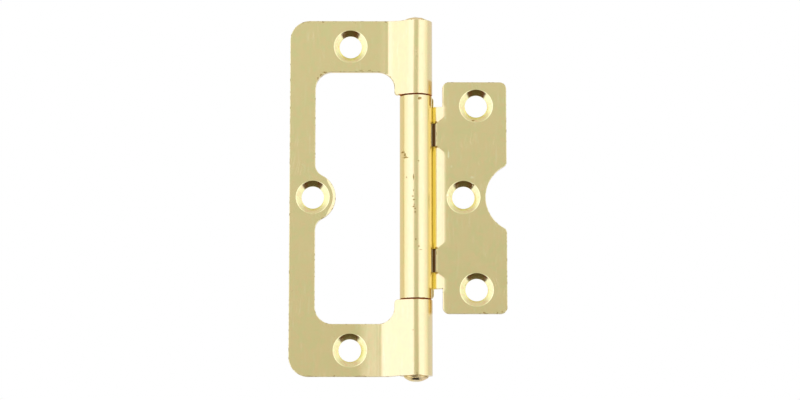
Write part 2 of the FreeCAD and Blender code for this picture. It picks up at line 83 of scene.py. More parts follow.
class Value:
    """A socket that carries a number, with the arithmetic of numbers."""

    def __init__(self, tree: "Tree", socket: Socket) -> None:
        """Wrap a socket.

        Args:
            tree: The tree that new Math nodes go into.
            socket: The output that this value stands for.
        """
        self.tree = tree
        self.socket = socket

    def calculate(self, operation: str, *values: Number) -> "Value":
        """Add one Math node.

        Args:
            operation: The node's operation.
            values: Its inputs, in order.

        Returns:
            The node's result.
        """
        inputs = dict(enumerate(values))
        node = self.tree.add("ShaderNodeMath", {"operation": operation}, inputs)
        return Value(self.tree, node.outputs[0])

    def __add__(self, other: Number) -> "Value":
        """The sum."""
        return self.calculate("ADD", self, other)

    def __radd__(self, other: float) -> "Value":
        """The sum, from the right."""
        return self.calculate("ADD", other, self)

    def __sub__(self, other: Number) -> "Value":
        """The difference."""
        return self.calculate("SUBTRACT", self, other)

    def __rsub__(self, other: float) -> "Value":
        """The difference, from the right."""
        return self.calculate("SUBTRACT", other, self)

    def __mul__(self, other: Number) -> "Value":
        """The product."""
        return self.calculate("MULTIPLY", self, other)

    def __rmul__(self, other: float) -> "Value":
        """The product, from the right."""
        return self.calculate("MULTIPLY", other, self)

    def __truediv__(self, other: Number) -> "Value":
        """The quotient."""
        return self.calculate("DIVIDE", self, other)

    def __pow__(self, other: Number) -> "Value":
        """The power."""
        return self.calculate("POWER", self, other)

    def __abs__(self) -> "Value":
        """The size without its sign."""
        return self.calculate("ABSOLUTE", self)

    def largest(self, other: Number) -> "Value":
        """The larger of the two."""
        return self.calculate("MAXIMUM", self, other)

    def smallest(self, other: Number) -> "Value":
        """The smaller of the two."""
        return self.calculate("MINIMUM", self, other)

    def arctangent(self, other: Number) -> "Value":
        """The angle whose tangent is this over the other, in radians."""
        return self.calculate("ARCTAN2", self, other)

    def arcsine(self) -> "Value":
        """The angle whose sine this is, in radians."""
        return self.calculate("ARCSINE", self)

    def up_to(self, most: float) -> "Value":
        """The same, but no less than 0 and no more than the most."""
        return self.largest(0.0).smallest(most)

    def hypotenuse(self, other: "Value") -> "Value":
        """How far away a place is that lies this far across and the other far along."""
        return (self * self + other * other) ** 0.5

    def step(self, start: float, end: float) -> "Value":
        """A smooth rise from 0 at start to 1 at end, or a fall where end is below start.

        Args:
            start: Where the rise begins.
            end: Where it is complete.

        Returns:
            The rise.
        """
        low, high = sorted((start, end))
        first, last = (0.0, 1.0) if start < end else (1.0, 0.0)
        inputs = {"Value": self, "From Min": low, "From Max": high}
        inputs.update({"To Min": first, "To Max": last})
        node = self.tree.add("ShaderNodeMapRange", {"interpolation_type": "SMOOTHSTEP"}, inputs)
        return Value(self.tree, node.outputs["Result"])

    def ramp(self, start: float, end: float) -> "Value":
        """The same rise of a length in metres, with both ends given in millimetres."""
        return self.step(start * MM, end * MM)


@dataclass
class Tree:
    """A node tree with one way to add a node."""

    nodes: bpy.types.NodeTree

    def add(
        self,
        kind: str,
        settings: Mapping[str, object] | None = None,
        inputs: Mapping[str | int, object] | None = None,
    ) -> bpy.types.Node:
        """Add a node, set it, and fill its inputs.

        Args:
            kind: The node's type.
            settings: Its properties.
            inputs: A value, a Value, or an output to link, for each input named or numbered.

        Returns:
            The node.
        """
        node = self.nodes.nodes.new(kind)
        for name, setting in (settings or {}).items():
            setattr(node, name, setting)
        for name, value in (inputs or {}).items():
            source = value.socket if isinstance(value, Value) else value
            if isinstance(source, Socket):
                self.nodes.links.new(source, node.inputs[name])
            else:
                node.inputs[name].default_value = source
        return node

    def parts(self, vector: Socket) -> tuple[Value, Value, Value]:
        """The three numbers of a vector."""
        node = self.add("ShaderNodeSeparateXYZ", None, {"Vector": vector})
        return tuple(Value(self, output) for output in node.outputs)

    def noise(self, place: Socket, scale: float, detail: float) -> Value:
        """A noise with a mean of about a half.

        Args:
            place: Where it is read.
            scale: How many lumps it has in a metre.
            detail: How many finer layers it has.

        Returns:
            The noise.
        """
        inputs = {"Vector": place, "Scale": scale, "Detail": detail}
        node = self.add("ShaderNodeTexNoise", {"noise_dimensions": "3D"}, inputs)
        return Value(self, node.outputs["Fac"])

    def squeezed(self, place: Socket, turn: float, left_over: float) -> Socket:
        """The place squeezed along the rolling direction, so that a noise there makes streaks.

        Args:
            place: The plain place.
            turn: How far the streaks lean, in radians.
            left_over: How much of the length is left.

        Returns:
            The squeezed place.
        """
        settings = {"vector_type": "POINT"}
        inputs = {"Vector": place, "Rotation": (0.0, turn, 0.0)}
        turned = self.add("ShaderNodeMapping", settings, inputs)
        inputs = {"Vector": turned.outputs[0], "Scale": (1.0, 1.0, left_over)}
        return self.add("ShaderNodeMapping", settings, inputs).outputs[0]

    def mix(self, factor: Number, first: object, second: object) -> Socket:
        """Blend two colours.

        Args:
            factor: How much of the second shows.
            first: A colour or an output.
            second: A colour or an output.

        Returns:
            The blended colour.
        """
        inputs = {0: factor, 6: self.opaque(first), 7: self.opaque(second)}
        return self.add("ShaderNodeMix", {"data_type": "RGBA"}, inputs).outputs[2]

    @staticmethod
    def opaque(colour: object) -> object:
        """A plain colour with its alpha, and an output as it is."""
        return (*colour, 1.0) if isinstance(colour, tuple) else colour

    def finish(self, geometry: Socket, material: Socket) -> None:
        """Make all instances real, give them one material, and end the tree there.

        Args:
            geometry: What has been made.
            material: The output that carries the material.
        """
        real = self.add("GeometryNodeRealizeInstances", None, {"Geometry": geometry})
        inputs = {"Geometry": real.outputs[0], "Material": material}
        finished = self.add("GeometryNodeSetMaterial", None, inputs)
        self.add("NodeGroupOutput", None, {0: finished.outputs[0]})


@dataclass(frozen=True)
class Mark:
    """A soft spot seen from the front: a rub, a nick, some painted shade, or a painted glint."""

    x: float
    z: float
    half_width: float
    half_height: float
    depth: float


class Relief(ABC):
    """A shallow relief of the sheet, which shows only in what it mirrors."""

    @abstractmethod
    def height(self, x: Value, z: Value) -> Value:
        """How far the sheet stands proud.

        Args:
            x: Metres to the right of the pin.
            z: Metres above the middle.

        Returns:
            Metres, below 0 where the sheet falls away.
        """


@dataclass(frozen=True)
class Bow(Relief):
    """A slight bow of the sheet beside a bend.

    The slope is the tangent of the tilt that is reached. Ease says how gently it begins on the
    left, fade how softly it ends on the right, and margin how softly it ends above and below.
    """

    left: float
    right: float
    bottom: float
    top: float
    slope: float
    ease: float
    fade: float
    margin: float = 1.0

    def height(self, x: Value, z: Value) -> Value:
        """Metres, from 0 at the left to the most at the right."""
        along = (x - self.left * MM).up_to((self.right - self.left) * MM)
        fall = (x - (self.right - self.fade) * MM).up_to(self.fade * MM)
        rise = along * along / (along + self.ease * MM) - fall * fall / (2 * self.fade * MM)
        inside = z.ramp(self.bottom - self.margin, self.bottom)
        inside = z.ramp(self.top + self.margin, self.top) * inside
        return rise * inside * self.slope


@dataclass(frozen=True)
class DieRoll(Relief):
    """The roll-over that the punch leaves along the right side of a round edge.

    It falls from the inner radius to the outer one. Side says how far to the right of the
    centre it fades in, and beyond how far past the outer radius it fades out.
    """

    x: float
    z: float
    inner: float
    outer: float
    slope: float
    side: Span = (4.0, 5.2)
    beyond: Span = (0.5, 1.5)

    def height(self, x: Value, z: Value) -> Value:
        """Metres, 0 inside and below 0 towards the edge."""
        across = x - self.x * MM
        distance = across.hypotenuse(z - self.z * MM)
        fall = (distance - self.inner * MM).up_to((self.outer - self.inner) * MM)
        near, far = self.beyond
        inside = distance.ramp(self.outer + far, self.outer + near)
        return fall * inside * across.ramp(*self.side) * -self.slope


@dataclass(frozen=True)
class Lip(Relief):
    """The soft shoulder where the sheet falls away to the left, beside a slot or a bend.

    The slope is the tangent of the tilt that is reached, and ease says how gently it begins.
    Start and rise say where it fades in from the left, and fade how softly it ends above and
    below.
    """

    left: float
    right: float
    bottom: float
    top: float
    slope: float
    fade: float
    ease: float = 0.25
    start: float = 4.6
    rise: float = 0.4

    def height(self, x: Value, z: Value) -> Value:
        """Metres, 0 on the plate and below 0 to its left."""
        fall = (x * -1.0 + self.right * MM).up_to((self.right - self.left) * MM)
        drop = fall * fall / (fall + self.ease * MM)
        inside = x.ramp(self.start, self.start + self.rise)
        inside = z.ramp(self.bottom, self.bottom + self.fade) * inside
        inside = z.ramp(self.top, self.top - self.fade) * inside
        return drop * inside * -self.slope


@dataclass(frozen=True)
class Patch:
    """A part of a piece, mostly painted shade or bounce, the same above and below the middle."""

    low: Triple
    high: Triple
    colour: Triple
    roughness: float
    fade: float = 0.05

    def cover(self, x: Value, y: Value, z: Value) -> Value:
        """How far a place lies in it.

        Args:
            x: Metres to the right of the pin.
            y: Metres behind the pin.
            z: Metres above the middle.

        Returns:
            1 inside and 0 outside, with a soft edge.
        """
        cover: Number = 1.0
        for value, low, high in zip((x, y, abs(z)), self.low, self.high):
            cover = value.ramp(low - self.fade, low) * cover
            cover = value.ramp(high + self.fade, high) * cover
        return cover


@dataclass(frozen=True)
class Speckle:
    """A noise cut into soft patches."""

    scale: float
    detail: float
    start: float
    end: float
    depth: float = 1.0

    def cover(self, tree: Tree, place: Socket) -> Value:
        """How much of a patch there is.

        Args:
            tree: The tree to build in.
            place: Where the noise is read.

        Returns:
            The depth inside a patch and 0 outside, with a soft edge.
        """
        noise = tree.noise(place, self.scale, self.detail)
        return noise.step(self.start, self.end) * self.depth


@dataclass(frozen=True)
class Scratches:
    """Sparse hairline scratches that lean one way, by a turn in radians."""

    turn: float
    patches: Speckle
    scale: float = 900.0
    left_over: float = 0.03
    hairline: Span = (0.012, 0.002)

    def cover(self, tree: Tree, place: Socket) -> Value:
        """Where the scratches run.

        Args:
            tree: The tree to build in.
            place: The plain place.

        Returns:
            1 on a scratch and 0 beside it.
        """
        lines = tree.noise(tree.squeezed(place, self.turn, self.left_over), self.scale, 0.0)
        return abs(lines - 0.5).step(*self.hairline) * self.patches.cover(tree, place)


@dataclass(frozen=True)
class WearAndShade:
    """The grain, the wear and the painted shade at a place, each from 0 to 1."""

    streaks: Value
    clouds: Value
    scratched: Number
    pits_rubs_and_shade: Value
    seated: Value
    rim: Value
    nicked: Value


@dataclass(frozen=True)
class PlatedBrass:
    """Bright brass plating on steel under thin lacquer, with painted highlights and shade.

    A scale says how many lumps a noise has in a metre. A front is a pair of depths behind the
    pin's axis, between which what only the front shows fades in.
    """

    name: str
    colour: Triple = (0.93, 0.80, 0.45)
    warm_colour: Triple = (0.95, 0.78, 0.44)
    green_colour: Triple = (0.88, 0.81, 0.44)
    # Painted glint colour of the pale flecks.
    fleck_glint_colour: Triple = (1.0, 0.94, 0.64)
    # Colour of pits and rubs, and of the marks that paint shade.
    rub_and_shade_colour: Triple = (0.42, 0.28, 0.08)
    # Painted highlight colour for the rounded edges and the glints.
    highlight_colour: Triple = (1.0, 0.96, 0.66)
    nick_colour: Triple = (0.47, 0.375, 0.11)
    seat_colour: Triple = (0.95, 0.92, 0.50)
    seat_stain: Triple = (0.95, 0.82, 0.46)
    lacquer: float = 0.25
    lacquer_roughness: float = 0.08
    roughness: float = 0.17
    roughness_spread: float = 0.05
    scratch_roughness: float = 0.10
    pits_rubs_and_shade_roughness: float = 0.25
    nick_roughness: float = 0.2
    bump_height: float = 4.0e-6
    streak_bump: float = 0.35
    cloud_bump: float = 6.0
    pits_rubs_and_shade_bump: float = 4.0
    nick_bump: float = 3.0
    grain_detail: float = 3.0
    streak_scale: float = 2600.0
    streak_left_over: float = 0.03
    cloud_scale: float = 260.0
    cloud_edge: Span = (0.35, 0.65)
    scratches: tuple[Scratches, ...] = (
        Scratches(turn=0.35, patches=Speckle(184.0, 1.0, 0.60, 0.68)),
        Scratches(turn=-0.2, patches=Speckle(162.0, 1.0, 0.60, 0.68)),
    )
    blotches: Speckle = Speckle(900.0, 2.0, 0.40, 0.70, depth=0.8)
    stains: Speckle = Speckle(1250.0, 2.0, 0.50, 0.60)
    # Where the painted glint flecks lie.
    flecks: Speckle = Speckle(1500.0, 2.0, 0.54, 0.80, depth=0.3)
    fleck_left_over: float = 0.14
    pits: Speckle = Speckle(1500.0, 1.0, 0.765, 0.80, depth=0.6)
    nicks: Speckle = Speckle(1100.0, 2.0, 0.53, 0.65)
    # How strongly the rounded edges take the painted highlight.
    rim_depth: float = 0.7
    mark_front: Span = (0.25, 0.05)
    mark_edge: Span = (1.15, 0.55)
    rag_scale: float = 2600.0
    rag_detail: float = 2.0
    raggedness: float = 1.4
    seat_front: Span = (0.79, 0.74)
    seat_radius: float = 4.74 * MM
    seat_fade: float = 0.04 * MM
    seat_places: tuple[Span, ...] = ()
    marks: tuple[Mark, ...] = ()
    # Marks that paint highlights.
    glints: tuple[Mark, ...] = ()
    reliefs: tuple[Relief, ...] = ()
    patches: tuple[Patch, ...] = ()

    def spots(self, tree: Tree, place: Socket, marks: Iterable[Mark]) -> Value:
        """The ragged spots that some marks leave.

        Args:
            tree: The tree to build in.
            place: The plain place.
            marks: The marks.

        Returns:
            How deep a mark is there, from 0 to 1.
        """
        x, y, z = tree.parts(place)
        ragged = tree.noise(place, self.rag_scale, self.rag_detail) - 0.5
        depth: Number = 0.0
        for mark in marks:
            across = (x - mark.x * MM) / (mark.half_width * MM)
            along = (z - mark.z * MM) / (mark.half_height * MM)
            distance = across.hypotenuse(along) + ragged * self.raggedness
            depth = distance.step(*self.mark_edge) * mark.depth + depth
        return y.ramp(*self.mark_front) * depth

    def seated(self, tree: Tree, place: Socket) -> Value:
        """How far a place lies in a countersink.

        Args:
            tree: The tree to build in.
            place: The plain place.

        Returns:
            1 inside a countersink's mouth and 0 outside.
        """
        x, y, z = tree.parts(place)
        cover: Number = 0.0
        for across, along in self.seat_places:
            distance = (x - across * MM).hypotenuse(z - along * MM)
            cover = distance.step(self.seat_radius + self.seat_fade, self.seat_radius) + cover
        return y.ramp(*self.seat_front) * cover

    def wear(self, tree: Tree, place: Socket) -> WearAndShade:
        """Work out the grain, the wear and the painted shade.

        Args:
            tree: The tree to build in.
            place: The plain place.

        Returns:
            The grain, the wear and the painted shade.
        """
        grain = tree.squeezed(place, 0.0, self.streak_left_over)
        scratched: Number = 0.0
        for scratches in self.scratches:
            scratched = scratches.cover(tree, place).largest(scratched)
        # Marks for rubs, and marks that paint shade.
        rubs_and_shade = self.spots(tree, place, self.marks)
        seated = self.seated(tree, place)
        rim = tree.add("ShaderNodeAttribute", {"attribute_name": RIM}).outputs["Fac"]
        rim = Value(tree, rim) * (1.0 - seated)
        return WearAndShade(
            streaks=tree.noise(grain, self.streak_scale, self.grain_detail),
            clouds=tree.noise(place, self.cloud_scale, self.grain_detail),
            scratched=scratched,
            pits_rubs_and_shade=(self.pits.cover(tree, place) + rubs_and_shade).step(0.0, 1.0),
            seated=seated,
            rim=rim,
            nicked=rim * self.nicks.cover(tree, place),
        )

    def tint(self, tree: Tree, place: Socket, wear: WearAndShade) -> Socket:
        """Mix the plating's colour with its painted highlights and shade, without its patches.

        Args:
            tree: The tree to build in.
            place: The plain place.
            wear: The grain, the wear and the painted shade there.

        Returns:
            The colour.
        """
        tint = tree.mix(wear.clouds.step(*self.cloud_edge), self.green_colour, self.colour)
        tint = tree.mix(self.blotches.cover(tree, place), tint, self.warm_colour)
        seat = tree.mix(self.stains.cover(tree, place), self.seat_colour, self.seat_stain)
        tint = tree.mix(wear.seated, tint, seat)
        # Painted glints: sparse pale flecks, streaked along the rolling direction.
        flecked = self.flecks.cover(tree, tree.squeezed(place, 0.0, self.fleck_left_over))
        tint = tree.mix(flecked, tint, self.fleck_glint_colour)
        # Painted shade: the marks that paint shade, with the pits and rubs, take the darker
        # colour.
        tint = tree.mix(wear.pits_rubs_and_shade, tint, self.rub_and_shade_colour)
        # Painted highlight: the rounded edges and the glints are lightened to a pale colour.
        glints = self.spots(tree, place, self.glints)
        tint = tree.mix((wear.rim * self.rim_depth).largest(glints), tint, self.highlight_colour)
        return tree.mix(wear.nicked, tint, self.nick_colour)

    def bump(self, x: Value, z: Value, wear: WearAndShade) -> Socket:
        """Tilt the surface by its grain, its wear, its painted shade marks and its reliefs.

        Args:
            x: Metres to the right of the pin.
            z: Metres above the middle.
            wear: The grain, the wear and the painted shade there.

        Returns:
            The tilted normal.
        """
        height = (
            (wear.streaks - 0.5) * self.streak_bump
            + wear.clouds * self.cloud_bump
            - wear.scratched
            - wear.pits_rubs_and_shade * self.pits_rubs_and_shade_bump
            - wear.nicked * self.nick_bump
        )
        for relief in self.reliefs:
            height = height + relief.height(x, z) / self.bump_height
        inputs = {"Height": height, "Distance": self.bump_height, "Strength": 1.0}
        return x.tree.add("ShaderNodeBump", None, inputs).outputs[0]

    def material(self) -> bpy.types.Material:
        """Build the material.

        Returns:
            The material, which reads Object coordinates.
        """
        material = bpy.data.materials.new(self.name)
        material.use_nodes = True
        material.node_tree.nodes.clear()
        tree = Tree(material.node_tree)
        place = tree.add("ShaderNodeTexCoord").outputs["Object"]
        x, y, z = tree.parts(place)
        wear = self.wear(tree, place)
        tint = self.tint(tree, place, wear)
        roughness = (
            self.roughness
            + (wear.streaks - 0.5) * self.roughness_spread
            + (wear.clouds - 0.5) * self.roughness_spread
            + wear.scratched * self.scratch_roughness
            + wear.pits_rubs_and_shade * self.pits_rubs_and_shade_roughness
            + wear.nicked * self.nick_roughness
        )
        lacquer: Number = (1.0 - wear.pits_rubs_and_shade) * self.lacquer
        # Most patches paint shade or bounced light, each with its own roughness and no lacquer.
        for patch in self.patches:
            cover = patch.cover(x, y, z)
            tint = tree.mix(cover, tint, patch.colour)
            roughness = roughness + cover * (patch.roughness - roughness)
            lacquer = (1.0 - cover) * lacquer
        inputs = {
            "Base Color": tint,
            "Metallic": 1.0,
            "Roughness": roughness,
            "Coat Weight": lacquer,
            "Coat Roughness": self.lacquer_roughness,
            "Normal": self.bump(x, z, wear),
        }
        shader = tree.add("ShaderNodeBsdfPrincipled", None, inputs)
        tree.add("ShaderNodeOutputMaterial", None, {"Surface": shader.outputs[0]})
        return material


@dataclass(frozen=True)
class PalePlain:
    """The plain pale surface of the studio's floor."""

    name: str = "pale_floor"
    colour: Triple = (0.86, 0.86, 0.85)
    roughness: float = 0.9
    specular: float = 0.1

    def material(self) -> bpy.types.Material:
        """Build the material.

        Returns:
            The material.
        """
        material = bpy.data.materials.new(self.name)
        material.use_nodes = True
        shader = material.node_tree.nodes["Principled BSDF"]
        shader.inputs["Base Color"].default_value = (*self.colour, 1.0)
        shader.inputs["Roughness"].default_value = self.roughness
        shader.inputs["Specular IOR Level"].default_value = self.specular
        return material


def link(name: str, mesh: bpy.types.Mesh) -> Piece:
    """Put a mesh in the scene as an object at the origin.

    Args:
        name: The object's name.
        mesh: The mesh.

    Returns:
        The object.
    """
    piece = bpy.data.objects.new(name, mesh)
    bpy.context.scene.collection.objects.link(piece)
    return piece


def finish_with(piece: Piece, material: bpy.types.Material) -> None:
    """Give every face of a piece one material.

    Args:
        piece: The piece.
        material: Its material.
    """
    piece.data.materials.clear()
    piece.data.materials.append(material)
    for face in piece.data.polygons:
        face.material_index = 0


def apply_modifiers(piece: Piece) -> None:
    """Turn what a piece's modifiers make into its plain mesh.

    Args:
        piece: The piece.
    """
    graph = bpy.context.evaluated_depsgraph_get()
    made = bpy.data.meshes.new_from_object(
        piece.evaluated_get(graph), preserve_all_data_layers=True, depsgraph=graph
    )
    piece.modifiers.clear()
    piece.data = made
    made.name = piece.name


def start_tree(name: str, inputs: Mapping[str, str], output: str) -> Tree:
    """Start a tree that makes geometry.

    Args:
        name: The tree's name.
        inputs: Its named inputs, each with its kind.
        output: The name of the geometry that it makes.

    Returns:
        The tree.
    """
    nodes = bpy.data.node_groups.new(name, "GeometryNodeTree")
    for label, kind in inputs.items():
        nodes.interface.new_socket(label, in_out="INPUT", socket_type=f"NodeSocket{kind}")
    nodes.interface.new_socket(output, in_out="OUTPUT", socket_type="NodeSocketGeometry")
    return Tree(nodes)


def run_tree(piece: Piece, nodes: bpy.types.NodeTree, chosen: Mapping[str, object]) -> None:
    """Let a tree rework a piece, and keep what it makes as the piece's mesh.

    Args:
        piece: The piece.
        nodes: The tree.
        chosen: What its named inputs get.
    """
    modifier = piece.modifiers.new(nodes.name, "NODES")
    modifier.node_group = nodes
    for socket in nodes.interface.items_tree:
        if socket.name in chosen:
            modifier[socket.identifier] = chosen[socket.name]
    apply_modifiers(piece)


def join_split(mesh: bpy.types.Mesh, distance: float, slivers: bool = False) -> None:
    """Join a mesh's split corners, and make its flat faces whole.

    Args:
        mesh: The mesh.
        distance: How near two corners are to be joined.
        slivers: Whether faces thinner than that go as well.
    """
    work = bmesh.new()
    work.from_mesh(mesh)
    bmesh.ops.remove_doubles(work, verts=work.verts, dist=distance)
    if slivers:
        bmesh.ops.dissolve_degenerate(work, edges=work.edges, dist=distance)
    bmesh.ops.dissolve_limit(work, angle_limit=FLAT_ANGLE, verts=work.verts, edges=work.edges)
    work.to_mesh(mesh)
    work.free()


def merged_copy(node: str, name: str) -> Piece:
    """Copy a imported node, with its loose triangles joined and its flat faces whole.

    Args:
        node: The node.
        name: The copy's name.

    Returns:
        The copy.
    """
    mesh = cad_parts[node].data.copy()
    mesh.name = name
    mesh.materials.clear()
    join_split(mesh, 0.002 * MM)
    normals = mesh.attributes.get("custom_normal")
    if normals:
        mesh.attributes.remove(normals)
    return link(name, mesh)


def round_edges(
    piece: Piece, radius: float, segments: int, spare: Iterable[Vector], reach: float
) -> None:
    """Round and mark the sharp outward edges of a piece, and keep its inward corners crisp.

    Args:
        piece: The piece.
        radius: The rounding's width.
        segments: How many faces it has across.
        spare: Places near which edges stay sharp.
        reach: How near to them that is.
    """
    work = bmesh.new()
    work.from_mesh(piece.data)
    rim = work.faces.layers.float.new(RIM)
    sharp = [
        edge
        for edge in work.edges
        if len(edge.link_faces) == 2
        and edge.is_convex
        and edge.calc_face_angle() > SHARP_ANGLE
        and not any((edge.verts[0].co - place).length < reach for place in spare)
    ]
    shape = {"offset": radius, "segments": segments, "profile": 0.5, "affect": "EDGES"}
    rounded = bmesh.ops.bevel(work, geom=sharp, clamp_overlap=False, **shape)
    for face in rounded["faces"]:
        face[rim] = 1.0
    for face in work.faces:
        face.smooth = True
    for edge in work.edges:
        if len(edge.link_faces) == 2 and not edge.is_convex:
            edge.smooth = edge.calc_face_angle() < SHARP_ANGLE
    work.to_mesh(piece.data)
    work.free()


def keep_flats_flat(piece: Piece) -> None:
    """Weight the normals by face area, so that a rounding doesn't shade the flat beside it.

    Args:
        piece: The piece.
    """
    weighted = piece.modifiers.new("flats", "WEIGHTED_NORMAL")
    weighted.mode = "FACE_AREA"
    weighted.weight = 100
    weighted.keep_sharp = True
    apply_modifiers(piece)


@dataclass(frozen=True)
class ScrewSeats:
    """The countersunk holes of one leaf, pressed again at each place with a finer edge.

    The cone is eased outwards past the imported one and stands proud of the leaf's face. Edges
    within the spared reach of a hole's foot, at the back of the leaf, stay sharp.
    """

    places: tuple[Span, ...]
    hole_radius: float = 3.125 * MM
    half_sheet: float = 0.8 * MM
    land: float = 0.36 * MM
    half_angle: float = math.radians(50.0)
    ease: float = 0.02 * MM
    proud: float = 0.5 * MM
    spared_reach: float = 3.5 * MM
    sides: int = 96

    def feet(self) -> list[Vector]:
        """Where the holes come out at the back."""
        return [Vector((x * MM, self.half_sheet, z * MM)) for x, z in self.places]

    def tree(self) -> bpy.types.NodeTree:
        """Build the tree that cuts one cone at each place.

        Returns:
            The tree, whose inputs are the cone's sizes.
        """
        inputs = {"Leaf": "Geometry", "Places": "Object", "Sides": "Int", "Finish": "Material"}
        sizes = ("Hole Radius", "Mouth Radius", "Depth", "Middle")
        tree = start_tree("screw_seats", inputs | dict.fromkeys(sizes, "Float"), "Leaf")
        given = tree.add("NodeGroupInput").outputs
        inputs = {
            "Vertices": given["Sides"],
            "Radius Top": given["Mouth Radius"],
            "Radius Bottom": given["Hole Radius"],
            "Depth": given["Depth"],
        }
        cone = tree.add("GeometryNodeMeshCone", {"fill_type": "NGON"}, inputs)
        shift = tree.add("ShaderNodeCombineXYZ", None, {"Y": given["Middle"]})
        inputs = {
            "Geometry": cone.outputs["Mesh"],
            "Rotation": (math.radians(90), 0.0, 0.0),
            "Translation": shift.outputs[0],
        }
        turned = tree.add("GeometryNodeTransform", None, inputs)
        places = tree.add("GeometryNodeObjectInfo", None, {"Object": given["Places"]})
        inputs = {"Points": places.outputs["Geometry"], "Instance": turned.outputs[0]}
        cones = tree.add("GeometryNodeInstanceOnPoints", None, inputs)
        whole = tree.add("GeometryNodeRealizeInstances", None, {"Geometry": cones.outputs[0]})
        cut = tree.add(
            "GeometryNodeMeshBoolean",
            {"operation": "DIFFERENCE", "solver": "EXACT"},
            {"Mesh 1": given["Leaf"], "Mesh 2": whole.outputs[0]},
        )
        tree.finish(cut.outputs["Mesh"], given["Finish"])
        return tree.nodes

    def press(self, leaf: Piece, finish: bpy.types.Material) -> None:
        """Cut the seats into a leaf.

        Args:
            leaf: The leaf.
            finish: The leaf's material.
        """
        points = bpy.data.meshes.new(f"{leaf.name}_seat_places")
        points.from_pydata([(x * MM, 0.0, z * MM) for x, z in self.places], [], [])
        marker = link(points.name, points)
        depth = 2 * self.half_sheet - self.land
        mouth = self.hole_radius + (depth + self.proud) * math.tan(self.half_angle)
        chosen = {
            "Places": marker,
            "Hole Radius": self.hole_radius + self.ease,
            "Mouth Radius": mouth + self.ease,
            "Depth": depth + self.proud,
            "Middle": self.half_sheet - self.land,
            "Sides": self.sides,
            "Finish": finish,
        }
        run_tree(leaf, self.tree(), chosen)
        bpy.data.objects.remove(marker)


@dataclass(frozen=True)
class DressedLeaf:
    """One leaf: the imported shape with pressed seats, rounded edges and its finish."""

    node: str
    body: Body
    seats: ScrewSeats
    finish: PlatedBrass
    edge_radius: float = 0.16 * MM
    edge_segments: int = 3

    def build(self) -> Piece:
        """Make the leaf and let it stand for its node.

        Returns:
            The leaf.
        """
        material = self.finish.material()
        leaf = merged_copy(self.node, f"{self.node}_plated")
        self.seats.press(leaf, material)
        join_split(leaf.data, 0.004 * MM, slivers=True)
        finish_with(leaf, material)
        feet, reach = self.seats.feet(), self.seats.spared_reach
        round_edges(leaf, self.edge_radius, self.edge_segments, feet, reach)
        keep_flats_flat(leaf)
        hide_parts(self.node)
        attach(leaf, self.body.value)
        LOG.info("%s: %d faces", leaf.name, len(leaf.data.polygons))
        return leaf


